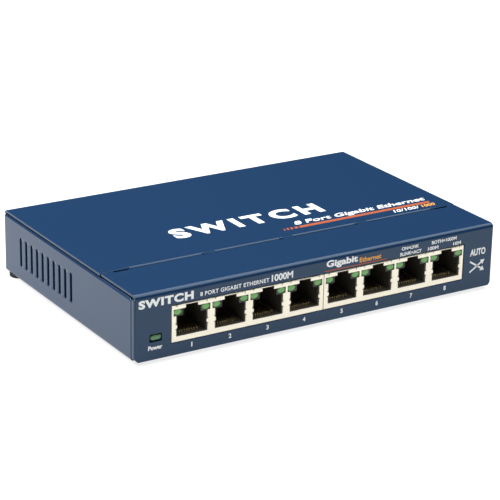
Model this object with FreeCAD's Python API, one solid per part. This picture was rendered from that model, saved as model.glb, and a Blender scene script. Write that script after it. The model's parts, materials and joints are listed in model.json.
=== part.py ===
"""Eight-port desktop network switch in a bent-steel case, as separate pieces.

Frame: millimetres, +Z up, origin on the surface that the feet rest on, under the
middle of the case. The ports face -Y, the power inlet faces +Y.
Each entry of NODES is written to parts/NAME.step.
"""

import FreeCAD
import Part
import os

Vector = FreeCAD.Vector
X_AXIS = Vector(1, 0, 0)
Y_AXIS = Vector(0, 1, 0)
Z_AXIS = Vector(0, 0, 1)

# ---- case
WIDTH = 158.0
DEPTH = 105.0
HEIGHT = 27.0
FOOT_HEIGHT = 1.55
SHEET = 1.0
BEND = 1.2
TOP_BEND = 1.9
FRONT_BOTTOM_BEND = 0.4
LAP_ROUND = 0.95
SIDE_TOP_GAP = 0.7
SIDE_FLANGE = 6.0
FRONT_WRAP = 2.4
WRAP_SEAM = 0.4
CORNER_CHAMFER = (1.4, 1.5)
TOP_SEAM_Y = -27.0
SEAM_GAP = 0.25
STRIP_INSET = 0.3
TONGUE_SPANS = ((-66.8, -36.6), (-31.0, -2.6), (3.2, 31.6), (37.4, 67.9))
TONGUE_GROOVE = 0.75
TONGUE_REACH = 7.0
TONGUE_RELIEF = 0.45
RELIEF_Y = (-28.5, -25.7)
END_SLOT = (6.0, 1.2)
END_SLOT_OFFSET = 1.0
CLEARANCE = 0.1

# ---- vents in both side panels
VENT_COUNT = 10
VENT_PITCH = 4.69
VENT_WIDTH = 1.7
VENT_REAR_Y = 38.4
VENT_SPAN = (6.1, 17.9)

# ---- ports: two ganged jacks of four
PORT_PITCH = 15.93
PORTS_PER_JACK = 4
JACK_WIDTH = 64.2
JACK_MIDDLES = (-31.9, 32.6)
JACK_HEIGHT = 13.9
JACK_DEPTH = 21.0
JACK_CUTOUT = (-64.35, 65.05)
JACK_GAPS = (0.2, 0.45)
SHIELD = 0.3
SHIELD_ROUND = 0.28
MOUTH_WIDTH = 12.9
MOUTH_SPAN = (2.0, 10.0)
LIGHT_ZONE_WIDTH = 15.1
LIGHT_ZONE_TOP = 12.4
LATCH_WIDTH = 5.0
LATCH_TOP = 13.6
SLIT_OFFSET = 6.15
SLIT_WIDTH = 0.5
SLIT_DEPTH = 0.9
CAVITY_WIDTH = 11.9
CAVITY_DEPTH = 14.6
CAVITY_FLOOR = 2.2
LATCH_CHANNEL = 7.6
LATCH_RECESS = 3.0
LIGHT_SIZE = (3.3, 2.3)
LIGHT_DEPTH = 9.0
GRIP_SPAN = (4.9, 6.7)
GRIP_REACH = 0.45
GRIP_RELIEF = 0.35

# ---- spring contacts
WIRES = 8
WIRE_PITCH = 1.02
WIRE = 0.35
WIRE_BEND_DEPTH = 2.3
WIRE_LENGTH = 8.8
WIRE_ANGLE = 9.5
WIRE_ROOM = 0.4
TAIL_PITCH = 2.54
TAIL_INSET = 4.0
TAIL_BELOW_BOARD = 1.2
CONTACT_GROOVE_DEPTH = 1.2

# ---- circuit board
BOARD = 1.6
STANDOFF = 2.35
FILM = 0.25
BOARD_X = (-72.0, 72.0)
BOARD_Y = (-50.2, 24.0)
TONGUE_X = (-68.0, -36.0)
TONGUE_REAR_Y = 49.6
BOARD_HOLES = ((-68.0, -26.0), (68.0, -26.0), (68.0, 19.0), (-64.0, 27.0))
BOARD_HOLE_R = 1.6
STANDOFF_R = 2.8
BOARD_SCREW_R = 1.2
BOARD_SCREW_HEAD = (2.5, 1.3)
FILM_INSET = 1.0
FILM_HOLE_R = 4.0

# ---- parts on the board: centre (x, y), then size (x, y, z)
SWITCH_CHIP = ((0.0, 2.0), (20.0, 20.0, 1.6))
PAD_SIZE = (18.0, 18.0, 0.4)
HEATSINK_SIZE = (24.0, 24.0, 8.0)
HEATSINK_BASE = 2.0
FINS = 8
FIN_GAP = 1.8
TRANSFORMER_Y = -22.5
TRANSFORMER_SIZE = (17.0, 11.0, 5.8)
CRYSTAL = ((22.0, 4.0), (11.0, 4.6, 3.5))
MEMORY_CHIP = ((-22.0, 8.0), (5.0, 6.0, 1.5))
INDUCTOR = ((-60.0, -6.0), (12.0, 12.0, 6.0))
REGULATOR = ((-46.0, -12.0), (6.6, 6.1, 2.3))
CAPACITORS = ((-46.0, 14.0), (-46.0, 0.0), (-60.0, 8.0))
CAPACITOR_R = 4.0
CAPACITOR_HEIGHT = 11.0
RESISTOR_SIZE = (1.6, 0.8, 0.5)
RESISTOR_ROWS = (-12.5, 16.5)
RESISTORS_PER_ROW = 11
RESISTOR_PITCH = 3.0

# ---- power inlet, lock slot, wall-mount keyholes, feet, screws
INLET_X = -52.0
INLET_SIZE = (9.0, 14.0, 11.0)
INLET_BORE_R = 3.0
INLET_BORE_DEPTH = 10.0
INLET_PIN_R = 1.05
INLET_PIN_INSET = 0.6
INLET_HEIGHT = 6.5
LEAF_SIZE = (1.8, 6.5, 0.3)
LEAF_ANGLE = 8.0
LOCK_X = 52.0
LOCK_SIZE = (7.0, 3.2)
KEYHOLE_SPACING = 60.0
KEYHOLE_Y = 33.0
KEYHOLE_ENTRY_R = 3.6
KEYHOLE_NECK_R = 1.9
KEYHOLE_TRAVEL = 7.0
FOOT_R = 3.8
FRONT_FOOT = (71.0, -44.0)
REAR_FOOT = (75.1, 48.6)
REAR_TAB_XS = (-70.0, 70.0)
REAR_TAB_WIDTH = 12.0
REAR_TAB_TOP = 12.0
REAR_TAB_CORNER = 2.0
SCREW_R = 1.5
SCREW_HEAD_R = 2.7
SCREW_HEAD = 1.4
SCREW_LENGTH = 5.0
RECESS = (2.6, 0.6, 0.9)
FOOT_EDGE = 0.4

# ---- power light in the front panel
POWER_WINDOW_X = (-73.0, -68.0)
POWER_WINDOW_Z = (6.75, 9.75)
POWER_LENS = (4.3, 6.0, 1.95)
POWER_LENS_INSET = 0.5

# ---- places worked out from the above
HALF_W = WIDTH / 2
FRONT = -DEPTH / 2
REAR = DEPTH / 2
BOTTOM = FOOT_HEIGHT
FLOOR = BOTTOM + SHEET
SIDE_TOP = HEIGHT - SHEET - SIDE_TOP_GAP
BOARD_BOTTOM = FLOOR + STANDOFF
BOARD_TOP = BOARD_BOTTOM + BOARD
JACK_BACK = FRONT + JACK_DEPTH
PORT_XS = [middle + (i - (PORTS_PER_JACK - 1) / 2) * PORT_PITCH
           for middle in JACK_MIDDLES for i in range(PORTS_PER_JACK)]
GRIP_HEIGHTS = (BOARD_TOP + GRIP_SPAN[0], BOARD_TOP + GRIP_SPAN[1])
INLET_Z = BOARD_TOP + INLET_HEIGHT
PANEL_INNER = REAR - SHEET


# ---- small tools

def block(x, y, z):
    """A box given as three (low, high) pairs."""
    return Part.makeBox(x[1] - x[0], y[1] - y[0], z[1] - z[0], Vector(x[0], y[0], z[0]))


def block_at(centre, size, base):
    """A box centred on centre (x, y) that stands on height base."""
    x, y = centre
    w, d, h = size
    return block((x - w / 2, x + w / 2), (y - d / 2, y + d / 2), (base, base + h))


def rod(start, radius, length, axis):
    return Part.makeCylinder(radius, length, start, axis)


def joined(shapes):
    """One solid out of touching shapes."""
    return shapes[0].multiFuse(shapes[1:]).removeSplitter().Solids[0]


def cut_all(shape, tools):
    return shape.cut(Part.makeCompound(tools)).Solids[0]


def group(solids):
    return Part.makeCompound(solids)


def rounded(solid, radius, chosen):
    """Rounds the edges for which chosen(middle point, direction) is true."""
    picked = []
    for edge in solid.Edges:
        ends = [vertex.Point for vertex in edge.Vertexes]
        if len(ends) == 2 and chosen((ends[0] + ends[1]) / 2, ends[1] - ends[0]):
            picked.append(edge)
    return solid.makeFillet(radius, picked)


def along(direction, axis):
    return direction.cross(axis).Length < 1e-6


def prism(points, start, length):
    """A solid along X from start, over a closed outline of (y, z) points."""
    outline = [Vector(start, y, z) for y, z in points]
    face = Part.Face(Part.makePolygon(outline + outline[:1]))
    return face.extrude(Vector(length, 0, 0))


# ---- case

def bent_front():
    """Front panel with its bottom bend, its top bend and the top strip behind it."""
    half = HALF_W - STRIP_INSET
    outer = block((-half, half), (FRONT, TOP_SEAM_Y), (BOTTOM, HEIGHT))
    outer = rounded(outer, TOP_BEND, lambda p, d: along(d, X_AXIS) and p.y == FRONT and p.z > FLOOR)
    outer = rounded(outer, FRONT_BOTTOM_BEND,
                    lambda p, d: along(d, X_AXIS) and p.y < FRONT + 0.1 and p.z < FLOOR)
    inner = block((-WIDTH, WIDTH), (FRONT + SHEET, REAR), (FLOOR, HEIGHT - SHEET))
    inner = rounded(inner, TOP_BEND - SHEET,
                    lambda p, d: along(d, X_AXIS) and p.y < 0 and p.z > FLOOR + SHEET)
    inner = rounded(inner, BEND - SHEET,
                    lambda p, d: along(d, X_AXIS) and p.y < FRONT + SHEET + 0.1 and p.z < FLOOR + 0.1)
    lip_end = FRONT + FRONT_WRAP + WRAP_SEAM
    behind = block((-WIDTH, WIDTH), (lip_end, REAR), (0, SIDE_TOP))
    ends = [block(span, (FRONT - 1, REAR), (0, SIDE_TOP))
            for span in ((-WIDTH, -HALF_W + SHEET), (HALF_W - SHEET, WIDTH))]
    return cut_all(outer, [inner, behind] + ends + seam_cuts())


def seam_cuts():
    """What the top strip loses at the seam: grooves over its tongues, relief slits and end slots."""
    z = (HEIGHT - 2 * SHEET, HEIGHT + 1)
    grooves = [block(span, (TOP_SEAM_Y - TONGUE_GROOVE, REAR), z) for span in TONGUE_SPANS]
    first = TONGUE_SPANS[0][0] - END_SLOT_OFFSET
    last = TONGUE_SPANS[-1][1] + END_SLOT_OFFSET
    length, depth = END_SLOT
    slots = [block(span, (TOP_SEAM_Y - depth, REAR), z)
             for span in ((first - length, first), (last, last + length))]
    return grooves + slots + relief_slits()


def relief_slits():
    """Slits through both top sheets at the ends of the tongues."""
    z = (HEIGHT - 2 * SHEET, HEIGHT + 1)
    return [block(span, RELIEF_Y, z) for a, b in TONGUE_SPANS
            for span in ((a - TONGUE_RELIEF, a), (b, b + TONGUE_RELIEF))]


def front_wraps():
    """Short flanges that the front panel turns back along both sides."""
    outer = block((-HALF_W, HALF_W), (FRONT, FRONT + FRONT_WRAP), (BOTTOM, SIDE_TOP))
    outer = rounded(outer, BEND - 0.3, lambda p, d: along(d, Z_AXIS) and p.y == FRONT)
    inner = block((-HALF_W + SHEET, HALF_W - SHEET), (FRONT + SHEET, REAR), (0, HEIGHT))
    return outer.cut(inner)


def corner_chamfers():
    """Waste at the front panel's bottom corners, which are cut off at a slant."""
    width, height = CORNER_CHAMFER
    corners = ((HALF_W - width, 0), (HALF_W - width, BOTTOM), (HALF_W, BOTTOM + height), (HALF_W, 0))
    waste = []
    for side in (-1, 1):
        outline = [Vector(side * x, FRONT, z) for x, z in corners]
        face = Part.Face(Part.makePolygon(outline + outline[:1]))
        waste.append(face.extrude(Vector(0, FRONT_WRAP + WRAP_SEAM, 0)))
    return waste


def side_channel():
    """Bottom and both side panels, with flanges turned in along the top."""
    start = FRONT + FRONT_WRAP + WRAP_SEAM
    outer = block((-HALF_W, HALF_W), (start, REAR), (BOTTOM, SIDE_TOP))
    outer = rounded(outer, BEND, lambda p, d: along(d, Y_AXIS))
    inner = block((-HALF_W + SHEET, HALF_W - SHEET), (FRONT - 1, REAR + 1), (FLOOR, SIDE_TOP - SHEET))
    inner = rounded(inner, BEND - SHEET, lambda p, d: along(d, Y_AXIS))
    inset = HALF_W - SHEET - SIDE_FLANGE
    opening = block((-inset, inset), (FRONT, REAR + 1), (FLOOR + BEND, HEIGHT))
    no_flange = block((-HALF_W + SHEET, HALF_W - SHEET), (FRONT, start + 3 * BEND),
                      (SIDE_TOP - SHEET - 0.5, HEIGHT))
    radius = 1.5 * BEND
    corner = block((-WIDTH, WIDTH), (start - 1, start + radius), (SIDE_TOP - radius, HEIGHT))
    corner = corner.cut(rod(Vector(-WIDTH, start + radius, SIDE_TOP - radius), radius, 2 * WIDTH, X_AXIS))
    rear_room = block((-HALF_W + SHEET, HALF_W - SHEET), (PANEL_INNER - CLEARANCE, REAR + 1), (0, HEIGHT))
    return cut_all(outer, [inner, opening, no_flange, corner, rear_room])


def rear_tab(x):
    """Tab of the bottom sheet, turned up behind the rear cover, with a tapped hole."""
    rear = PANEL_INNER - CLEARANCE
    plate = block((x - REAR_TAB_WIDTH / 2, x + REAR_TAB_WIDTH / 2), (rear - SHEET, rear),
                  (BOTTOM, BOTTOM + REAR_TAB_TOP))
    plate = rounded(plate, REAR_TAB_CORNER, lambda p, d: along(d, Y_AXIS) and p.z > FLOOR)
    hole_start = Vector(x, REAR - SCREW_LENGTH, screw_height())
    return plate.cut(rod(hole_start, SCREW_R + CLEARANCE / 2, 2 * SCREW_LENGTH, Y_AXIS))


def screw_height():
    return BOTTOM + REAR_TAB_TOP - 3 * SCREW_R


def tucked_tongue(span):
    """Tongue of the top strip, set down one sheet so that the rear cover laps it."""
    start = TOP_SEAM_Y - TONGUE_GROOVE
    top = HEIGHT - SHEET - CLEARANCE / 2
    run = 0.9 * SHEET
    skew = 0.4 * SHEET
    outline = [(start - skew, HEIGHT - SHEET), (start - skew, HEIGHT), (start, HEIGHT), (start + run, top),
               (start + TONGUE_REACH, top), (start + TONGUE_REACH, top - SHEET),
               (start + run - skew, top - SHEET)]
    return prism(outline, span[0], span[1] - span[0])


def vent_slots():
    low, high = (BOTTOM + z for z in VENT_SPAN)
    radius = VENT_WIDTH / 2
    slots = []
    for i in range(VENT_COUNT):
        y = VENT_REAR_Y - i * VENT_PITCH
        slots.append(block((-WIDTH, WIDTH), (y - radius, y + radius), (low + radius, high - radius)))
        for z in (low + radius, high - radius):
            slots.append(rod(Vector(-WIDTH, y, z), radius, 2 * WIDTH, X_AXIS))
    return slots


def keyholes():
    cuts = []
    for x in (-KEYHOLE_SPACING / 2, KEYHOLE_SPACING / 2):
        cuts.append(rod(Vector(x, KEYHOLE_Y, 0), KEYHOLE_ENTRY_R, FLOOR + 1, Z_AXIS))
        cuts.append(rod(Vector(x, KEYHOLE_Y + KEYHOLE_TRAVEL, 0), KEYHOLE_NECK_R, FLOOR + 1, Z_AXIS))
        cuts.append(block((x - KEYHOLE_NECK_R, x + KEYHOLE_NECK_R),
                          (KEYHOLE_Y, KEYHOLE_Y + KEYHOLE_TRAVEL), (0, FLOOR + 1)))
    return cuts


def front_cutouts():
    jacks = block(JACK_CUTOUT, (FRONT - 1, FRONT + 3),
                  (BOARD_TOP - JACK_GAPS[0], BOARD_TOP + JACK_HEIGHT + JACK_GAPS[1]))
    jacks = rounded(jacks, 0.4, lambda p, d: along(d, Y_AXIS))
    light = block(POWER_WINDOW_X, (FRONT - 1, FRONT + 3), [BOTTOM + z for z in POWER_WINDOW_Z])
    light = rounded(light, 0.5, lambda p, d: along(d, Y_AXIS))
    return [jacks, light]


def chassis_tray():
    pieces = [side_channel(), bent_front(), front_wraps()]
    pieces += [rear_tab(x) for x in REAR_TAB_XS]
    pieces += [tucked_tongue(span) for span in TONGUE_SPANS]
    return cut_all(joined(pieces), front_cutouts() + vent_slots() + keyholes() + corner_chamfers())


def rear_cover():
    """Top sheet behind the seam and the back panel that it bends down into."""
    inset = HALF_W - SHEET - CLEARANCE
    outer = block((-HALF_W, HALF_W), (TOP_SEAM_Y + SEAM_GAP, REAR), (BOTTOM + 0.3, HEIGHT))
    outer = rounded(outer, TOP_BEND, lambda p, d: along(d, X_AXIS) and p.y == REAR and p.z > FLOOR)
    inner = block((-WIDTH, WIDTH), (FRONT, PANEL_INNER), (0, HEIGHT - SHEET))
    inner = rounded(inner, TOP_BEND - SHEET, lambda p, d: along(d, X_AXIS) and p.y > 0 and p.z > FLOOR)
    beside = [block((-WIDTH, -inset), (FRONT, REAR + 1), (0, SIDE_TOP + CLEARANCE)),
              block((inset, WIDTH), (FRONT, REAR + 1), (0, SIDE_TOP + CLEARANCE))]
    inlet = rod(Vector(INLET_X, REAR - 3, INLET_Z), INLET_BORE_R + 1.2, 5, Y_AXIS)
    w, h = LOCK_SIZE
    lock = block((LOCK_X - w / 2, LOCK_X + w / 2), (REAR - 3, REAR + 1), (INLET_Z - h / 2, INLET_Z + h / 2))
    lock = rounded(lock, 0.8, lambda p, d: along(d, Y_AXIS))
    holes = [rod(Vector(x, REAR - 3, screw_height()), SCREW_R + 0.2, 5, Y_AXIS) for x in REAR_TAB_XS]
    return cut_all(outer, [inner, inlet, lock] + beside + holes + lap_rounding() + relief_slits())


def lap_rounding():
    """Waste of the cover's front edge, which is rounded over wherever a tongue passes under it."""
    y, z = TOP_SEAM_Y + SEAM_GAP, HEIGHT - LAP_ROUND
    waste = []
    for start, end in TONGUE_SPANS:
        corner = block((start, end), (y - 1, y + LAP_ROUND), (z, HEIGHT + 1))
        waste.append(corner.cut(rod(Vector(start, y + LAP_ROUND, z), LAP_ROUND, end - start, X_AXIS)))
    return waste


def cover_screw(x):
    head_at = Vector(x, REAR, screw_height())
    head = rod(head_at, SCREW_HEAD_R, SCREW_HEAD, Y_AXIS)
    head = rounded_rim(head, 0.6, head_at + Y_AXIS * SCREW_HEAD)
    shank = rod(head_at - Y_AXIS * SCREW_LENGTH, SCREW_R, SCREW_LENGTH, Y_AXIS)
    return joined([head, shank]).cut(cross_recess(head_at + Y_AXIS * SCREW_HEAD, Y_AXIS))


def rounded_rim(solid, radius, point):
    """Rounds the circular edge whose centre is at point."""
    rims = [edge for edge in solid.Edges
            if hasattr(edge.Curve, "Center") and (edge.Curve.Center - point).Length < 1e-6]
    return solid.makeFillet(radius, rims)


def cross_recess(point, axis):
    """Cross-shaped driver recess sunk into a screw head at point."""
    size, width, depth = RECESS
    arm = Part.makeBox(size, width, depth, Vector(-size / 2, -width / 2, -depth))
    other = arm.copy()
    other.rotate(Vector(), Z_AXIS, 90)
    cross = arm.fuse(other)
    cross.Placement = FreeCAD.Placement(point, FreeCAD.Rotation(Z_AXIS, axis)).multiply(cross.Placement)
    return cross


def cover_screws():
    return group([cover_screw(x) for x in REAR_TAB_XS])


def rubber_feet():
    feet = []
    for x, y in (FRONT_FOOT, REAR_FOOT):
        for side in (-1, 1):
            foot = rod(Vector(side * x, y, 0), FOOT_R, FOOT_HEIGHT, Z_AXIS)
            feet.append(rounded_rim(foot, FOOT_EDGE, Vector(side * x, y, 0)))
    return group(feet)


# ---- circuit board and what holds it

def board_outline(base, thickness, grow):
    """Board shape: a rectangle with a tongue that reaches back to the power inlet."""
    main = block((BOARD_X[0] - grow, BOARD_X[1] + grow), (BOARD_Y[0] - grow, BOARD_Y[1] + grow),
                 (base, base + thickness))
    tongue = block((TONGUE_X[0] - grow, TONGUE_X[1] + grow), (BOARD_Y[1] - 1, TONGUE_REAR_Y + grow),
                   (base, base + thickness))
    return joined([main, tongue])


def circuit_board():
    holes = [rod(Vector(x, y, 0), BOARD_HOLE_R, HEIGHT, Z_AXIS) for x, y in BOARD_HOLES]
    tails = [tail for middle in JACK_MIDDLES for tail in contact_tails(middle)]
    return cut_all(board_outline(BOARD_BOTTOM, BOARD, 0), holes + tails)


def insulating_film():
    holes = [rod(Vector(x, y, 0), FILM_HOLE_R, HEIGHT, Z_AXIS) for x, y in BOARD_HOLES]
    return cut_all(board_outline(FLOOR, FILM, -FILM_INSET), holes)


def standoffs():
    posts = []
    for x, y in BOARD_HOLES:
        post = rod(Vector(x, y, FLOOR), STANDOFF_R, STANDOFF, Z_AXIS)
        posts.append(post.cut(rod(Vector(x, y, FLOOR), BOARD_SCREW_R, STANDOFF, Z_AXIS)))
    return group(posts)


def board_screws():
    screws = []
    head_r, head_height = BOARD_SCREW_HEAD
    length = BOARD + STANDOFF - FILM + 0.05
    for x, y in BOARD_HOLES:
        seat = Vector(x, y, BOARD_TOP)
        top = seat + Z_AXIS * head_height
        head = rounded_rim(rod(seat, head_r, head_height, Z_AXIS), 0.5, top)
        shank = rod(seat - Z_AXIS * length, BOARD_SCREW_R, length, Z_AXIS)
        screws.append(joined([head, shank]).cut(cross_recess(top, Z_AXIS)))
    return group(screws)


# ---- ganged port jacks

def jack_span(middle, inset):
    return (middle - JACK_WIDTH / 2 + inset, middle + JACK_WIDTH / 2 - inset)


def ports_of(middle):
    return [x for x in PORT_XS if abs(x - middle) < JACK_WIDTH / 2]


def mouth_cuts(x, depth):
    """Opening of one port through the shield face: plug mouth, light zone, latch notch."""
    y = (FRONT - 1, FRONT + depth)
    low, high = (BOARD_TOP + z for z in MOUTH_SPAN)
    zone_top = BOARD_TOP + LIGHT_ZONE_TOP
    return [block((x - MOUTH_WIDTH / 2, x + MOUTH_WIDTH / 2), y, (low, high)),
            block((x - LIGHT_ZONE_WIDTH / 2, x + LIGHT_ZONE_WIDTH / 2), y, (high - 0.1, zone_top)),
            block((x - LATCH_WIDTH / 2, x + LATCH_WIDTH / 2), y, (zone_top - 0.1, BOARD_TOP + LATCH_TOP))]


def slits(x):
    """V-shaped slits in the shield's top front edge that free the tabs over the lights."""
    top = BOARD_TOP + JACK_HEIGHT
    cuts = []
    for middle in (x - SLIT_OFFSET, x + SLIT_OFFSET):
        corners = ((middle - SLIT_WIDTH / 2, top + 0.01), (middle, top - SLIT_DEPTH),
                   (middle + SLIT_WIDTH / 2, top + 0.01))
        outline = [Vector(corner_x, FRONT - 1, z) for corner_x, z in corners]
        face = Part.Face(Part.makePolygon(outline + outline[:1]))
        cuts.append(face.extrude(Vector(0, 1 + 2 * SHIELD, 0)))
    return cuts


def grip_bumps(x):
    """Sprung bumps of the shield that grip the plug from both sides."""
    middle = BOARD_TOP + sum(GRIP_SPAN) / 2
    radius = (GRIP_SPAN[1] - GRIP_SPAN[0]) / 2
    bumps = []
    for side in (-1, 1):
        edge = x + side * MOUTH_WIDTH / 2
        disc = rod(Vector(edge + side * (radius - GRIP_REACH), FRONT, middle), radius, SHIELD, Y_AXIS)
        keep = block((min(edge + side * 0.2, edge - side), max(edge + side * 0.2, edge - side)),
                     (FRONT, FRONT + SHIELD), GRIP_HEIGHTS)
        bumps.append(disc.common(keep))
    return bumps


def grip_reliefs(x):
    """Short cuts above and below each grip bump."""
    cuts = []
    for edge in (x - MOUTH_WIDTH / 2, x + MOUTH_WIDTH / 2):
        for z in (GRIP_HEIGHTS[0] - GRIP_RELIEF, GRIP_HEIGHTS[1]):
            cuts.append(block((edge - GRIP_RELIEF, edge + GRIP_RELIEF), (FRONT - 1, FRONT + SHIELD + 0.1),
                              (z, z + GRIP_RELIEF)))
    return cuts


def jack_shield(middle):
    top = BOARD_TOP + JACK_HEIGHT
    outer = block(jack_span(middle, 0), (FRONT, JACK_BACK), (BOARD_TOP, top))
    outer = rounded(outer, SHIELD_ROUND, lambda p, d: p.y == FRONT)
    inner = block(jack_span(middle, SHIELD), (FRONT + SHIELD, JACK_BACK - SHIELD),
                  (BOARD_TOP - 1, top - SHIELD))
    cuts = [inner]
    bumps = []
    for x in ports_of(middle):
        cuts += mouth_cuts(x, SHIELD + 0.1) + slits(x) + grip_reliefs(x)
        bumps += grip_bumps(x)
    return joined([cut_all(outer, cuts)] + bumps)


def cavity(x):
    """Space for one plug in the plastic, with its latch channel and contact grooves."""
    y = (FRONT, FRONT + SHIELD + CAVITY_DEPTH)
    floor = BOARD_TOP + CAVITY_FLOOR
    ceiling = BOARD_TOP + MOUTH_SPAN[1]
    grooves = WIRES * WIRE_PITCH + WIRE
    return [block((x - CAVITY_WIDTH / 2, x + CAVITY_WIDTH / 2), y, (floor, ceiling)),
            block((x - LATCH_CHANNEL / 2, x + LATCH_CHANNEL / 2), y,
                  (ceiling - 0.1, BOARD_TOP + LIGHT_ZONE_TOP)),
            block((x - LATCH_WIDTH / 2, x + LATCH_WIDTH / 2), (FRONT, FRONT + SHIELD + LATCH_RECESS),
                  (BOARD_TOP + LIGHT_ZONE_TOP - 0.1, BOARD_TOP + JACK_HEIGHT)),
            block((x - grooves / 2, x + grooves / 2), (FRONT + SHIELD + WIRE_BEND_DEPTH - WIRE_ROOM, y[1]),
                  (floor - CONTACT_GROOVE_DEPTH, floor + 0.1))]


def light_pockets(x):
    """Pockets in the housing's front top corners for the two lights of one port."""
    y = (FRONT, FRONT + SHIELD + LIGHT_DEPTH)
    z = (BOARD_TOP + LIGHT_ZONE_TOP - LIGHT_SIZE[1], BOARD_TOP + LIGHT_ZONE_TOP)
    return [block(span, y, z) for span in light_spans(x)]


def light_spans(x):
    half = LIGHT_ZONE_WIDTH / 2
    width = LIGHT_SIZE[0]
    return [(x - half, x - half + width), (x + half - width, x + half)]


def jack_housing(middle):
    body = block(jack_span(middle, SHIELD), (FRONT + SHIELD, JACK_BACK - SHIELD),
                 (BOARD_TOP, BOARD_TOP + JACK_HEIGHT - SHIELD))
    cuts = []
    for x in ports_of(middle):
        cuts += cavity(x) + light_pockets(x)
    return cut_all(body, cuts)


def port_lights():
    """Green port lights: a lens at the face on a long rectangular stem."""
    lights = []
    z = (BOARD_TOP + LIGHT_ZONE_TOP - LIGHT_SIZE[1], BOARD_TOP + LIGHT_ZONE_TOP)
    for x in PORT_XS:
        for low, high in light_spans(x):
            lens = block((low, high), (FRONT + 0.1, FRONT + SHIELD + LIGHT_DEPTH), z)
            lights.append(rounded(lens, 0.5, lambda p, d: along(d, Y_AXIS)))
    return group(lights)


def wire_xs(x):
    return [x + (i - (WIRES - 1) / 2) * WIRE_PITCH for i in range(WIRES)]


def contact_hinge():
    """Where the contact wires bend: (y, z) of the axis, at the front of the plug space."""
    return (FRONT + SHIELD + WIRE_BEND_DEPTH, BOARD_TOP + CAVITY_FLOOR - 0.1)


def port_contacts(x):
    """Eight wires that rise towards the back of one port and spring down under a plug."""
    y, z = contact_hinge()
    wires = []
    for wire_x in wire_xs(x):
        arm = Part.makeBox(WIRE, WIRE_LENGTH, WIRE, Vector(wire_x - WIRE / 2, y, z - WIRE / 2))
        eye = rod(Vector(wire_x - WIRE / 2, y, z), WIRE / 2, WIRE, X_AXIS)
        wire = joined([arm, eye])
        wire.rotate(Vector(wire_x, y, z), X_AXIS, WIRE_ANGLE)
        wires.append(wire)
    return group(wires)


def contact_tails(middle):
    """Fixed ends of the wires: pins from the housing down through the board."""
    tails = []
    for x in ports_of(middle):
        for i, wire_x in enumerate(wire_xs(x)):
            y = JACK_BACK - TAIL_INSET - TAIL_PITCH * (i % 2)
            tails.append(block((wire_x - WIRE / 2, wire_x + WIRE / 2), (y - WIRE / 2, y + WIRE / 2),
                               (BOARD_BOTTOM - TAIL_BELOW_BOARD, BOARD_TOP)))
    return tails


# ---- parts on the board

def chip(centre, size, base):
    """A moulded package with a small chamfer around its top."""
    body = block_at(centre, size, base)
    top = base + size[2]
    edges = [edge for edge in body.Edges if all(abs(v.Z - top) < 1e-6 for v in edge.Vertexes)]
    return body.makeChamfer(min(0.3, size[2] / 4), edges)


def on_board(part):
    centre, size = part
    return chip(centre, size, BOARD_TOP)


def thermal_pad():
    centre, size = SWITCH_CHIP
    return block_at(centre, PAD_SIZE, BOARD_TOP + size[2])


def heatsink():
    """Finned block on the switch chip's pad."""
    (x, y), chip_size = SWITCH_CHIP
    width, depth, height = HEATSINK_SIZE
    base = BOARD_TOP + chip_size[2] + PAD_SIZE[2]
    pitch = (width - FIN_GAP) / (FINS - 1)
    channel = (FIN_GAP, depth + 2, height)
    channels = [block_at((x + (i - FINS / 2 + 1) * pitch, y), channel, base + HEATSINK_BASE)
                for i in range(FINS - 1)]
    return cut_all(block_at((x, y), HEATSINK_SIZE, base), channels)


def transformers():
    """One transformer module behind each pair of ports."""
    xs = [(PORT_XS[i] + PORT_XS[i + 1]) / 2 for i in range(0, len(PORT_XS), 2)]
    return group([chip((x, TRANSFORMER_Y), TRANSFORMER_SIZE, BOARD_TOP) for x in xs])


def capacitors():
    cans = []
    for x, y in CAPACITORS:
        can = rod(Vector(x, y, BOARD_TOP), CAPACITOR_R, CAPACITOR_HEIGHT, Z_AXIS)
        cans.append(rounded_rim(can, 0.6, Vector(x, y, BOARD_TOP + CAPACITOR_HEIGHT)))
    return group(cans)


def chip_resistors():
    """Small surface-mount parts in two rows around the switch chip."""
    xs = [(i - (RESISTORS_PER_ROW - 1) / 2) * RESISTOR_PITCH for i in range(RESISTORS_PER_ROW)]
    return group([block_at((x, y), RESISTOR_SIZE, BOARD_TOP) for x in xs for y in RESISTOR_ROWS])


# ---- power inlet

def inlet_body():
    w, d, h = INLET_SIZE
    rear = PANEL_INNER - 2 * CLEARANCE
    body = block((INLET_X - w / 2, INLET_X + w / 2), (rear - d, rear), (BOARD_TOP, BOARD_TOP + h))
    bore = rod(Vector(INLET_X, rear - INLET_BORE_DEPTH, INLET_Z), INLET_BORE_R, INLET_BORE_DEPTH, Y_AXIS)
    leaf_room = block((INLET_X - 1.1, INLET_X + 1.1), (rear - INLET_BORE_DEPTH, rear - 1.5),
                      (INLET_Z - INLET_BORE_R - 1.6, INLET_Z))
    return cut_all(body, [bore, leaf_room])


def inlet_pin():
    rear = PANEL_INNER - 2 * CLEARANCE
    start = Vector(INLET_X, rear - INLET_BORE_DEPTH, INLET_Z)
    length = INLET_BORE_DEPTH - INLET_PIN_INSET
    pin = rod(start, INLET_PIN_R, length, Y_AXIS)
    return rounded_rim(pin, INLET_PIN_R / 2, start + Y_AXIS * length)


def inlet_spring():
    """Leaf that presses up on the plug's barrel, hinged at the back of its slot."""
    y, z = leaf_hinge()
    width, length, thickness = LEAF_SIZE
    leaf = block((INLET_X - width / 2, INLET_X + width / 2), (y, y + length),
                 (z - thickness / 2, z + thickness / 2))
    leaf = joined([leaf, rod(Vector(INLET_X - width / 2, y, z), thickness, width, X_AXIS)])
    leaf.rotate(Vector(INLET_X, y, z), X_AXIS, LEAF_ANGLE)
    return leaf


def leaf_hinge():
    return (PANEL_INNER - INLET_BORE_DEPTH + 0.6, INLET_Z - INLET_BORE_R - 0.9)


# ---- power light

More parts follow.
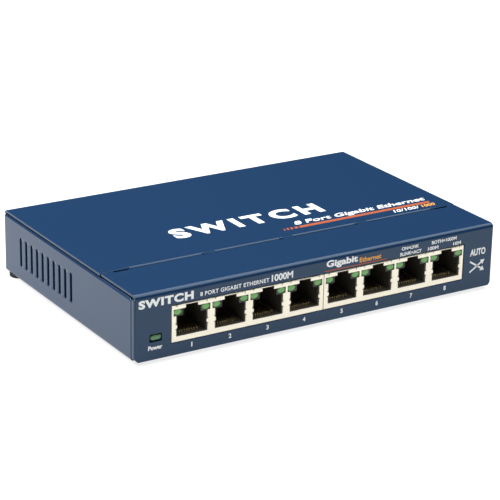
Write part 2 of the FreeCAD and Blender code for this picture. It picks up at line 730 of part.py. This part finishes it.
def power_light():
    return rounded(power_lens_block(), 0.4, lambda p, d: along(d, Y_AXIS))


def power_lens_block():
    """The power light's outline, behind the middle of its window."""
    x = sum(POWER_WINDOW_X) / 2
    z = BOTTOM + sum(POWER_WINDOW_Z) / 2
    width, depth, height = POWER_LENS
    front = FRONT + POWER_LENS_INSET
    return block((x - width / 2, x + width / 2), (front, front + depth), (z - height / 2, z + height / 2))


def light_holder():
    """Black block that stands on the board and holds the power light level."""
    lens = power_lens_block()
    box = lens.BoundBox
    body = block((BOARD_X[0], box.XMax + 0.7), (box.YMax - 3.5, box.YMax + 1.5),
                 (BOARD_TOP, box.ZMax + 0.95))
    return body.cut(lens)


NODES = {
    "chassis_tray": chassis_tray(),
    "rear_cover": rear_cover(),
    "cover_screws": cover_screws(),
    "rubber_feet": rubber_feet(),
    "insulating_film": insulating_film(),
    "standoffs": standoffs(),
    "circuit_board": circuit_board(),
    "board_screws": board_screws(),
    "port_lights": port_lights(),
    "power_light": power_light(),
    "power_light_holder": light_holder(),
    "switch_chip": on_board(SWITCH_CHIP),
    "thermal_pad": thermal_pad(),
    "heatsink": heatsink(),
    "port_transformers": transformers(),
    "crystal": on_board(CRYSTAL),
    "memory_chip": on_board(MEMORY_CHIP),
    "capacitors": capacitors(),
    "power_inductor": on_board(INDUCTOR),
    "voltage_regulator": on_board(REGULATOR),
    "chip_resistors": chip_resistors(),
    "power_inlet_body": inlet_body(),
    "power_inlet_pin": inlet_pin(),
    "power_inlet_spring": inlet_spring(),
}
for side, middle in zip(("left", "right"), JACK_MIDDLES):
    NODES[side + "_jack_shield"] = jack_shield(middle)
    NODES[side + "_jack_housing"] = jack_housing(middle)
    NODES[side + "_contact_tails"] = group(contact_tails(middle))
for number, port_x in enumerate(PORT_XS, start=1):
    NODES["port_%d_contacts" % number] = port_contacts(port_x)

os.makedirs("parts", exist_ok=True)
for name, shape in NODES.items():
    shape.exportStep("parts/%s.step" % name)
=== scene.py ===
"""Looks of the desktop network switch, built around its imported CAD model.

Metres, in the CAD frame: +X to the right along the ports, +Y to the back, +Z up.
The order is: camera and studio, materials, sheet metal, jacks, lights, printing, finish.
"""

import json
import math

import bmesh
import bpy
from mathutils import Matrix, Vector
from mathutils.bvhtree import BVHTree
from mathutils.kdtree import KDTree


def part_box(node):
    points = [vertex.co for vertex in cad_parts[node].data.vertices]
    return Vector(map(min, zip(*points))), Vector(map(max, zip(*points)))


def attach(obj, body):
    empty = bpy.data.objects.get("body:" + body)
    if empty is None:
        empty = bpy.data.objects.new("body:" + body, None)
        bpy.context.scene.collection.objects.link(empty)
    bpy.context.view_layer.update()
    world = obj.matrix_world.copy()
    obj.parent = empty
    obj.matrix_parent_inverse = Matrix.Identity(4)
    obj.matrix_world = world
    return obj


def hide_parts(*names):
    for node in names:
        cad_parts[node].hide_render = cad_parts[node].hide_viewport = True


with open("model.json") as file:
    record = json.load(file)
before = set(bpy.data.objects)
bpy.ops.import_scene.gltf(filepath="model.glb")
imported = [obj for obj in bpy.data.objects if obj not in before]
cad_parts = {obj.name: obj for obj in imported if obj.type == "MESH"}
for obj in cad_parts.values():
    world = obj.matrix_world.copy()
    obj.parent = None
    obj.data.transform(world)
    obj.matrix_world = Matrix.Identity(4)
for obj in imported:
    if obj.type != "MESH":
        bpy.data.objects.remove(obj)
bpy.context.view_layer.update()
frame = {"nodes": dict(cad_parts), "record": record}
NODES = frame["nodes"]
MM = 0.001

# ---- view: azimuth 0 looks along +Y
AZIMUTH = math.radians(-32.19)
ELEVATION = math.radians(20.42)
ROLL = math.radians(1.18)
DISTANCE = 785.4 * MM
AIM_RIGHT = 0.98 * MM
AIM_UP = 10.47 * MM
AIM_HEIGHT = 1.8 * MM
LENS = 144.55
SENSOR = 36.0

# ---- places read from the frame
CASE_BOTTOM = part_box("chassis_tray")[0].z
CASE_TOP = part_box("rear_cover")[1].z
FRONT_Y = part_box("chassis_tray")[0].y

# ---- mesh work: points closer than WELD are one, edges sharper than CORNER are rounded
WELD = 0.002 * MM
CORNER = math.radians(28)
TRIES = 8
STRAY = 0.8
PAINTED_EDGE = 0.14 * MM
SHIELD_EDGE = 0.09 * MM
INK = 0.04 * MM

# ---- port lights: lens growth over the CAD light, shift inward, and the near-black rim around it, whose inner lower edge is painted shade
LENS_GROW = (0.10 * MM, 0.05 * MM)
LENS_INWARD = 0.12 * MM
LENS_DOME = 0.3 * MM
LENS_POWER = 1.9
SHADE_RIM = (0.22 * MM, 0.10 * MM)
SHADE_SETBACK = 0.03 * MM
SHADE_WELL = 0.17 * MM
SHADE_POWER = 9.0

# ---- power light
POWER_PROUD = 0.4 * MM
POWER_SHIFT = 0.25 * MM
POWER_DOME = 0.45 * MM
POWER_SQUARENESS = 4.0
WAIST = 0.12
WAIST_WIDTH = 0.22

# ---- contact wires: (back, up) from the start of a wire to its crest and to its dip
CREST = (0.9 * MM, 0.80 * MM)
DIP = (2.6 * MM, 0.50 * MM)
CREST_LEAD = 0.2 * MM
DIP_LIFT = 0.15 * MM


def camera():
    """Perspective camera aimed at a point under the middle of the case."""
    ca, sa = math.cos(AZIMUTH), math.sin(AZIMUTH)
    ce, se = math.cos(ELEVATION), math.sin(ELEVATION)
    ahead = Vector((-sa * ce, ca * ce, -se))
    level = Vector((ca, sa, 0))
    upright = level.cross(ahead)
    right = level * math.cos(ROLL) + upright * math.sin(ROLL)
    up = upright * math.cos(ROLL) - level * math.sin(ROLL)
    data = bpy.data.cameras.new("camera")
    data.lens = LENS
    data.sensor_width = SENSOR
    data.clip_start = 0.01
    data.clip_end = 50
    place = Vector((0, 0, AIM_HEIGHT)) + right * AIM_RIGHT + up * AIM_UP - ahead * DISTANCE
    turn = Matrix((right, up, -ahead)).transposed()
    eye = bpy.data.objects.new("camera", data)
    eye.matrix_world = Matrix.Translation(place) @ turn.to_4x4()
    bpy.context.scene.collection.objects.link(eye)
    bpy.context.scene.camera = eye


def area_light(name, place, target, size, power):
    data = bpy.data.lights.new(name, "AREA")
    data.shape = "RECTANGLE"
    data.size, data.size_y = size
    data.energy = power
    lamp = bpy.data.objects.new(name, data)
    lamp.location = place
    aim = Vector(target) - Vector(place)
    lamp.rotation_euler = aim.to_track_quat("-Z", "Y").to_euler()
    bpy.context.scene.collection.objects.link(lamp)


def studio():
    """Pale floor, a large soft light overhead, one over the floor on the left and a weak one in front."""
    area_light("overhead", (0.15, 0.0, 1.25), (0.12, 0.05, 0), (2.2, 2.0), 48)
    area_light("over_left_floor", (-0.62, 0.55, 0.9), (-0.42, 0.45, 0), (0.7, 0.7), 25)
    area_light("front_fill", (-0.3, -1.6, 0.55), (0, 0, 0), (0.8, 0.5), 2)
    world = bpy.data.worlds.new("studio")
    world.use_nodes = True
    world.node_tree.nodes["Background"].inputs["Color"].default_value = (0.9, 0.95, 1.0, 1)
    world.node_tree.nodes["Background"].inputs["Strength"].default_value = 0.05
    bpy.context.scene.world = world
    bpy.context.scene.view_settings.view_transform = "Standard"
    mesh = bpy.data.meshes.new("floor")
    half = 4.0
    corners = [(-half, -half, 0), (half, -half, 0), (half, half, 0), (-half, half, 0)]
    mesh.from_pydata(corners, [], [(0, 1, 2, 3)])
    floor = bpy.data.objects.new("floor", mesh)
    bpy.context.scene.collection.objects.link(floor)
    paper = surface("floor_paper", (0.22, 0.22, 0.22), 0.9, vary=0.01, scale=40, **{
        "Emission Color": (1, 1, 1, 1), "Emission Strength": 0.80})
    floor.data.materials.append(paper)


# ---- materials

def node(tree, kind, **values):
    made = tree.nodes.new(kind)
    for key, value in values.items():
        if key in made.inputs:
            made.inputs[key].default_value = value
        else:
            setattr(made, key, value)
    return made


def surface(name, base, rough, metallic=0.0, vary=0.08, scale=900.0, bump=0.0, bump_scale=2500.0,
            depth=0.00002, **shader):
    """A Principled material: colour and roughness wander by a little, and bump gives a fine grain."""
    material = bpy.data.materials.new(name)
    material.use_nodes = True
    tree = material.node_tree
    bsdf = tree.nodes["Principled BSDF"]
    bsdf.inputs["Metallic"].default_value = metallic
    for key, value in shader.items():
        bsdf.inputs[key].default_value = value
    where = node(tree, "ShaderNodeTexCoord")
    noise = node(tree, "ShaderNodeTexNoise", Scale=scale, Detail=4.0)
    tree.links.new(where.outputs["Object"], noise.inputs["Vector"])
    mix = node(tree, "ShaderNodeMix", data_type="RGBA")
    mix.inputs[6].default_value = (*[c * (1 - vary) for c in base], 1)
    mix.inputs[7].default_value = (*[min(1, c * (1 + vary)) for c in base], 1)
    tree.links.new(noise.outputs["Fac"], mix.inputs[0])
    tree.links.new(mix.outputs[2], bsdf.inputs["Base Color"])
    spread = node(tree, "ShaderNodeMapRange", **{"To Min": rough * 0.88, "To Max": min(1, rough * 1.12)})
    tree.links.new(noise.outputs["Fac"], spread.inputs["Value"])
    tree.links.new(spread.outputs["Result"], bsdf.inputs["Roughness"])
    if bump:
        grain = node(tree, "ShaderNodeTexNoise", Scale=bump_scale, Detail=3.0)
        tree.links.new(where.outputs["Object"], grain.inputs["Vector"])
        relief = node(tree, "ShaderNodeBump", Strength=bump, Distance=depth)
        tree.links.new(grain.outputs["Fac"], relief.inputs["Height"])
        tree.links.new(relief.outputs["Normal"], bsdf.inputs["Normal"])
    return material


PAINT = surface("blue_paint", (0.0046, 0.0235, 0.066), 0.24, vary=0.05, scale=1800, bump=0.12,
                bump_scale=2600, depth=0.00001,
                **{"Specular IOR Level": 0.42, "Specular Tint": (0.82, 0.97, 1.0, 1)})
SHIELD = surface("shield_metal", (0.85, 0.80, 0.66), 0.42, metallic=0.35, vary=0.04, bump=0.1)
ZINC = surface("zinc_screws", (0.45, 0.46, 0.48), 0.32, metallic=1.0, vary=0.08, bump=0.1)
BLACK = surface("black_plastic", (0.036, 0.032, 0.023), 0.5, vary=0.2, bump=0.1)
CHIP = surface("chip_black", (0.02, 0.02, 0.022), 0.6, vary=0.15, bump=0.15)
RUBBER = surface("foot_rubber", (0.010, 0.010, 0.010), 0.75, vary=0.2, bump=0.3)
FILM = surface("film", (0.02, 0.02, 0.02), 0.35, vary=0.1)
BOARD = surface("board", (0.008, 0.07, 0.03), 0.35, vary=0.25, scale=1200)
LENS_GREEN = surface("green_lens", (0.125, 0.33, 0.095), 0.35, vary=0.10, scale=1500)
POWER_GREEN = surface("power_green", (0.065, 0.165, 0.080), 0.35, vary=0.10, scale=1500)
# near-black colour of the rim that shows at each port lens's inner lower corner: painted shade
PAINTED_LENS_SHADE = surface("painted_lens_shade", (0.022, 0.022, 0.018), 0.45, vary=0.12, scale=1500)
PAD = surface("pad", (0.2, 0.2, 0.22), 0.8, vary=0.1)
ANODISED = surface("heatsink_metal", (0.02, 0.02, 0.022), 0.45, metallic=0.6, vary=0.2)
CAN = surface("can_metal", (0.55, 0.56, 0.58), 0.3, metallic=1.0, vary=0.05)
FERRITE = surface("ferrite", (0.05, 0.05, 0.05), 0.7, vary=0.2)
TIN = surface("contact_metal", (0.55, 0.53, 0.50), 0.3, metallic=1.0)
# gold darkened below its own colour so the contact wires stay dim inside the ports and only their crests
# show: real gold tone with painted shade
DIMMED_GOLD = surface("contact_gold", (0.40, 0.31, 0.16), 0.35, metallic=1.0)
WHITE_INK = surface("white_ink", (0.68, 0.70, 0.70), 0.55, vary=0.05, scale=2500)
ORANGE_INK = surface("orange_ink", (0.27, 0.052, 0.010), 0.55, vary=0.10, scale=2500)
AMBER_INK = surface("amber_ink", (0.60, 0.27, 0.035), 0.55, vary=0.10, scale=2500)
BY_SLOT = {
    "blue_paint": PAINT, "shield_metal": SHIELD, "zinc_screws": ZINC, "black_plastic": BLACK,
    "chip_black": CHIP, "foot_rubber": RUBBER, "film": FILM, "board": BOARD, "green_lens": LENS_GREEN,
    "pad": PAD, "heatsink_metal": ANODISED, "can_metal": CAN, "ferrite": FERRITE,
    "contact_metal": TIN, "contact_gold": DIMMED_GOLD,
}


def finish_nodes():
    """Gives every CAD node the material of its slot in the record."""
    for part in frame["record"]["subparts"]:
        material = BY_SLOT[part["material_slot"]]
        data = NODES[part["node"]].data
        data.materials.clear()
        data.materials.append(material)


# ---- mesh tools

def added(name, mesh, skin, body, replaced=()):
    """Puts a finished mesh in the scene as a piece that rides on a CAD body."""
    piece = bpy.data.objects.new(name, mesh)
    bpy.context.scene.collection.objects.link(piece)
    mesh.materials.clear()
    mesh.materials.append(skin)
    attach(piece, body)
    if replaced:
        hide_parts(*replaced)
    return piece


def from_bmesh(name, bm, smooth_angle=None):
    """Turns a bmesh into a mesh; edges sharper than smooth_angle stay sharp."""
    bmesh.ops.recalc_face_normals(bm, faces=bm.faces)
    mesh = bpy.data.meshes.new(name)
    bm.to_mesh(mesh)
    bm.free()
    if smooth_angle:
        mesh.shade_smooth()
        mesh.set_sharp_from_angle(angle=math.radians(smooth_angle))
    return mesh


def bevelled(node_name, name, width, body, skin, recess=0.0):
    """Shows a CAD node as a copy whose sharp edges are rounded by width.

    With recess, its front and top faces stand back by that much, as ground for printing."""
    bm = bmesh.new()
    bm.from_mesh(NODES[node_name].data)
    bmesh.ops.remove_doubles(bm, verts=bm.verts, dist=WELD)
    for vertex in bm.verts:
        if vertex.co.y < FRONT_Y + WELD:
            vertex.co.y += recess
        if vertex.co.z > CASE_TOP - WELD:
            vertex.co.z -= recess
    piece = added(name, from_bmesh(name, rounded(bm, width), 50), skin, body, (node_name,))
    weighted = piece.modifiers.new("flat_faces", "WEIGHTED_NORMAL")
    weighted.keep_sharp = True
    return piece


def rounded(bm, width):
    """A copy of bm with rounded edges. Those that would tear the surface stay sharp."""
    surface_tree = BVHTree.FromBMesh(bm)
    low = [min(vertex.co[i] for vertex in bm.verts) for i in range(3)]
    high = [max(vertex.co[i] for vertex in bm.verts) for i in range(3)]
    points = KDTree(len(bm.verts))
    for i, vertex in enumerate(bm.verts):
        points.insert(vertex.co, i)
    points.balance()
    kept_sharp = set()
    for _ in range(TRIES):
        copy = bm.copy()
        copy.verts.index_update()
        edges = [edge for edge in copy.edges if edge.calc_face_angle(0) > CORNER
                 and not kept_sharp & {vertex.index for vertex in edge.verts}]
        bmesh.ops.bevel(copy, geom=edges, offset=width, offset_type="OFFSET", segments=2, profile=0.5,
                        affect="EDGES", clamp_overlap=False)
        stray = {vertex for vertex in copy.verts if surface_tree.find_nearest(vertex.co)[3] > STRAY * width}
        if not stray:
            break
        near = {edge.other_vert(vertex) for vertex in stray for edge in vertex.link_edges} - stray
        kept_sharp |= {points.find(vertex.co)[1] for vertex in near}
        copy.free()
    for vertex in copy.verts:
        vertex.co = [min(max(vertex.co[i], low[i]), high[i]) for i in range(3)]
    bm.free()
    return copy


def tube(bm, path, radius, sides=8):
    """Adds a round rod along the points of path, which lie in one plane of constant X."""
    rings = []
    for i, point in enumerate(path):
        ahead = (path[min(i + 1, len(path) - 1)] - path[max(i - 1, 0)]).normalized()
        across = Vector((1, 0, 0))
        up = across.cross(ahead)
        ring = []
        for k in range(sides):
            turn = 2 * math.pi * k / sides
            ring.append(bm.verts.new(point + (across * math.cos(turn) + up * math.sin(turn)) * radius))
        rings.append(ring)
    for low, high in zip(rings, rings[1:]):
        join_rings(bm, low, high)
    bm.faces.new(rings[0])
    bm.faces.new(rings[-1])


def join_rings(bm, low, high):
    for k in range(len(low)):
        j = (k + 1) % len(low)
        bm.faces.new((low[k], low[j], high[j], high[k]))


def outline(centre, half_w, half_h, power, count=28):
    """Points (x, z) of a rounded rectangle: the larger power is, the squarer."""
    points = []
    for k in range(count):
        turn = 2 * math.pi * (k + 0.5) / count
        c, s = math.cos(turn), math.sin(turn)
        points.append((centre[0] + half_w * math.copysign(abs(c) ** (2 / power), c),
                       centre[1] + half_h * math.copysign(abs(s) ** (2 / power), s)))
    return points


def ring_at(bm, points, y):
    return [bm.verts.new((x, y, z)) for x, z in points]


def domed_lens(bm, centre, half_w, half_h, face_y, back_y, dome, power):
    """A lens with a domed face and straight sides, seen from -Y."""
    rings = [ring_at(bm, outline(centre, half_w, half_h, power), y) for y in (back_y, face_y + dome)]
    for i in (1, 2, 3):
        angle = math.radians(90 * i / 4)
        size = math.cos(angle)
        y = face_y + dome * (1 - math.sin(angle))
        rings.append(ring_at(bm, outline(centre, half_w * size, half_h * size, power), y))
    for low, high in zip(rings, rings[1:]):
        join_rings(bm, low, high)
    bm.faces.new(rings[0])
    bm.faces.new(rings[-1])


def socket(bm, centre, half, inner_centre, inner_half, face_y, back_y, depth):
    """A near-black rectangular rim with a rounded well in its face that takes a lens; the rim is painted
    shade beside the lens.
    """
    outer = [ring_at(bm, outline(centre, half[0], half[1], SHADE_POWER), y) for y in (back_y, face_y)]
    well = [ring_at(bm, outline(inner_centre, inner_half[0], inner_half[1], LENS_POWER), y)
            for y in (face_y, face_y + depth)]
    join_rings(bm, outer[0], outer[1])
    join_rings(bm, outer[1], well[0])
    join_rings(bm, well[0], well[1])
    bm.faces.new(outer[0])
    bm.faces.new(well[1])


# ---- jacks

def solids_of(node_name):
    """Boxes (low, high) of the separate solids in a CAD node, from left to right."""
    bm = bmesh.new()
    bm.from_mesh(NODES[node_name].data)
    bmesh.ops.remove_doubles(bm, verts=bm.verts, dist=WELD)
    boxes = []
    unseen = set(bm.verts)
    while unseen:
        stack = [unseen.pop()]
        corners = []
        while stack:
            vertex = stack.pop()
            corners.append(vertex.co.copy())
            for edge in vertex.link_edges:
                other = edge.other_vert(vertex)
                if other in unseen:
                    unseen.remove(other)
                    stack.append(other)
        boxes.append((Vector([min(c[i] for c in corners) for i in range(3)]),
                      Vector([max(c[i] for c in corners) for i in range(3)])))
    bm.free()
    return sorted(boxes, key=lambda box: box[0].x)


def port_lights():
    """Two lenses over each port, each in a near-black rim that shows at its inner lower corner as painted
    shade.
    """
    lenses, shade_rims = bmesh.new(), bmesh.new()
    for i, (low, high) in enumerate(solids_of("port_lights")):
        inward = 1 if i % 2 == 0 else -1
        centre = ((low.x + high.x) / 2 + inward * LENS_INWARD, (low.z + high.z) / 2)
        half = ((high.x - low.x) / 2 + LENS_GROW[0], (high.z - low.z) / 2 + LENS_GROW[1])
        rim = (half[0] + SHADE_RIM[0], half[1] + SHADE_RIM[1])
        # the rim is set off inward and down so that its dark edge shows as painted shade at the lens's
        # inner lower corner
        shade_centre = (centre[0] + inward * SHADE_RIM[0], centre[1] - SHADE_RIM[1])
        face = low.y + SHADE_SETBACK
        socket(shade_rims, shade_centre, rim, centre, half, face, face + SHADE_WELL, SHADE_WELL)
        domed_lens(lenses, centre, half[0], half[1], low.y, high.y, LENS_DOME, LENS_POWER)
    added("port_lenses", from_bmesh("port_lenses", lenses, 50), LENS_GREEN, "root",
          ("port_lights",))
    added("port_painted_lens_shades", from_bmesh("port_painted_lens_shades", shade_rims, 40), PAINTED_LENS_SHADE, "root",
          ("port_lights",))


def power_lens():
    """Green power light behind its window, with a slight waist in the middle."""
    low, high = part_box("power_light")
    middle = (low + high) / 2
    bm = bmesh.new()
    half_w = (high.x - low.x) / 2
    half_h = (high.z - low.z) / 2
    centre = (middle.x + POWER_SHIFT, middle.z)
    domed_lens(bm, centre, half_w, half_h, low.y - POWER_PROUD, high.y, POWER_DOME, POWER_SQUARENESS)
    for vertex in bm.verts:
        across = (vertex.co.x - middle.x - POWER_SHIFT) / (WAIST_WIDTH * half_w)
        vertex.co.z = middle.z + (vertex.co.z - middle.z) * (1 - WAIST * math.exp(-across ** 2))
    added("power_lens", from_bmesh("power_lens", bm, 50), POWER_GREEN, "root",
          ("power_light",))


def contact_wires(number):
    """Eight round wires: out of the floor groove, over a bend near the front, then rising to the back."""
    name = "port_%d_contacts" % number
    bm = bmesh.new()
    for low, high in solids_of(name):
        radius = (high.x - low.x) / 2
        x = (low.x + high.x) / 2
        start = Vector((x, low.y + radius, low.z + radius))
        end = Vector((x, high.y - radius, high.z - radius))
        crest = Vector((x, start.y + CREST[0], start.z + CREST[1]))
        dip = Vector((x, start.y + DIP[0], start.z + DIP[1]))
        path = [start]
        path += spline(start, Vector((x, start.y + CREST_LEAD, crest.z)), crest)
        path += spline(crest, Vector((x, (crest.y + dip.y) / 2, crest.z)), dip)
        path += spline(dip, Vector((x, (dip.y + end.y) / 2, dip.z + DIP_LIFT)), end)
        tube(bm, path, radius)
    added("port_%d_wires" % number, from_bmesh(name, bm, 60), DIMMED_GOLD, "port_%d_springs" % number,
          (name,))


def spline(start, pull, end, steps=6):
    """Points after start on the curve from start to end that bends towards pull."""
    points = []
    for i in range(1, steps + 1):
        t = i / steps
        points.append(start * (1 - t) ** 2 + pull * 2 * t * (1 - t) + end * t ** 2)
    return points


# ---- printing

def on_front(u, v, height):
    return Vector((u, FRONT_Y + INK - height, v + CASE_BOTTOM))


def on_top(u, v, height):
    return Vector((u, v, CASE_TOP - INK + height))


def printed(name, text, span, rows, place, body, ink, bold=0.0, lean=0.0, spacing=1.0):
    """Generic words stretched over span by rows, in millimetres on the front or the top."""
    font = bpy.data.curves.new(name, "FONT")
    font.body = text
    font.extrude = 0.5
    font.offset = bold
    font.shear = lean
    font.space_character = spacing
    font.resolution_u = 4
    drawn = bpy.data.objects.new(name, font)
    bpy.context.scene.collection.objects.link(drawn)
    bpy.context.view_layer.update()
    mesh = bpy.data.meshes.new_from_object(drawn.evaluated_get(bpy.context.evaluated_depsgraph_get()))
    bpy.data.objects.remove(drawn)
    lows = [min(v.co[i] for v in mesh.vertices) for i in (0, 1)]
    highs = [max(v.co[i] for v in mesh.vertices) for i in (0, 1)]
    for vertex in mesh.vertices:
        u = (vertex.co.x - lows[0]) / (highs[0] - lows[0])
        v = (vertex.co.y - lows[1]) / (highs[1] - lows[1])
        height = INK if vertex.co.z > 0 else -INK
        vertex.co = place((span[0] + u * (span[1] - span[0])) * MM,
                          (rows[0] + v * (rows[1] - rows[0])) * MM, height)
    added(name, mesh, ink, body)


def drawn_shape(name, outlines, place, body, ink):
    """Flat printed shapes, each a closed outline of (u, v) points in millimetres."""
    bm = bmesh.new()
    for points in outlines:
        base = [bm.verts.new(place(u * MM, v * MM, -INK)) for u, v in points]
        top = [bm.verts.new(place(u * MM, v * MM, INK)) for u, v in points]
        join_rings(bm, base, top)
        bm.faces.new(base)
        bm.faces.new(top)
    added(name, from_bmesh(name, bm), ink, body)


def arrow(start, end, width, head):
    """Outline of a straight arrow from start to end."""
    run = Vector(end) - Vector(start)
    ahead = run.normalized()
    side = Vector((-ahead.y, ahead.x))
    neck = Vector(end) - ahead * head
    barb = side * head * 0.62
    points = [Vector(start) - side * width / 2, neck - side * width / 2, neck - barb, Vector(end),
              neck + barb, neck + side * width / 2, Vector(start) + side * width / 2]
    return [tuple(point) for point in points]


LIGHT_KEYS = (
    ("ON=LINK", (35.2, 43.2), (21.9, 23.3)), ("BLINK=ACT", (34.6, 44.5), (19.7, 21.1)),
    ("BOTH=1000M", (49.2, 60.9), (21.9, 23.3)), ("100M", (47.5, 52.4), (19.7, 21.1)),
    ("10M", (59.5, 63.1), (19.7, 21.1)))


def front_printing():
    """Words, light key, port numbers and arrows on the front panel."""
    front = dict(place=on_front, body="root", ink=WHITE_INK)
    printed("front_word", "SWITCH", (-77.4, -55.2), (20.1, 23.3), bold=0.05, spacing=1.15, **front)
    printed("front_line", "8 PORT GIGABIT ETHERNET", (-52.5, -23.6), (20.5, 22.1), bold=0.02,
            spacing=1.1, **front)
    printed("front_speed", "1000M", (-22.6, -13.4), (20.3, 23.0), bold=0.03, **front)
    printed("front_gigabit", "Gigabit", (1.2, 15.2), (20.6, 24.0), bold=0.035, **front)
    printed("front_net", "Ethernet", (16.0, 25.8), (20.7, 22.6), bold=0.03, place=on_front, body="root",
            ink=AMBER_INK)
    underline = [(0.5, 19.75), (28.2, 19.75), (28.2, 20.15), (0.5, 20.15)]
    drawn_shape("front_underline", [underline], on_front, "root", ORANGE_INK)
    for number, (text, span, rows) in enumerate(LIGHT_KEYS, 1):
        printed("light_key_%d" % number, text, span, rows, bold=0.025, **front)
    printed("auto_word", "AUTO", (68.0, 75.4), (13.6, 16.4), bold=0.035, **front)
    arrows = [arrow((68.2, 7.0), (75.2, 11.4), 0.65, 1.8), arrow((68.2, 11.4), (75.2, 7.0), 0.65, 1.8)]
    drawn_shape("auto_arrow_up", arrows[:1], on_front, "root", WHITE_INK)
    drawn_shape("auto_arrow_down", arrows[1:], on_front, "root", WHITE_INK)
    printed("power_word", "Power", (-73.6, -67.9), (3.85, 5.5), bold=0.045, **front)
    for number in range(1, 9):
        low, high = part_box("port_%d_contacts" % number)
        middle = (low.x + high.x) / 2 / MM
        half = 0.25 if number == 1 else 0.55
        printed("port_number_%d" % number, str(number), (middle - half, middle + half), (1.95, 3.75),
                bold=0.03, **front)


def top_printing():
    """Words and a stripe on the rear cover."""
    top = dict(place=on_top, body="cover", ink=WHITE_INK)
    printed("top_word", "SWITCH", (-36.6, 29.8), (-9.3, 0.9), bold=0.045, spacing=1.35, **top)
    printed("top_line", "8 Port Gigabit Ethernet", (10.7, 72.6), (-18.3, -13.8), bold=0.02, lean=0.3, **top)
    bars = [[(x, -20.8), (x + width, -20.8), (x + width + 0.6, -18.8), (x + 0.6, -18.8)]
            for x, width in ((3.2, 0.5), (4.6, 0.8), (6.2, 1.1), (8.1, 1.4), (10.2, 61.5))]
    drawn_shape("top_stripe", bars, on_top, "cover", ORANGE_INK)
    printed("top_speeds", "10/100/", (52.3, 65.2), (-24.0, -21.4), bold=0.02, lean=0.3, **top)
    printed("top_speed_1000", "1000", (65.8, 72.6), (-24.0, -21.4), bold=0.02, lean=0.3, place=on_top,
            body="cover", ink=AMBER_INK)


camera()
studio()
finish_nodes()
bevelled("chassis_tray", "painted_tray", PAINTED_EDGE, "root", PAINT, INK)
bevelled("rear_cover", "painted_cover", PAINTED_EDGE, "cover", PAINT, INK)
for side in ("left", "right"):
    bevelled(side + "_jack_shield", side + "_shield_sheet", SHIELD_EDGE, "root", SHIELD)
port_lights()
power_lens()
for port in range(1, 9):
    contact_wires(port)
front_printing()
top_printing()
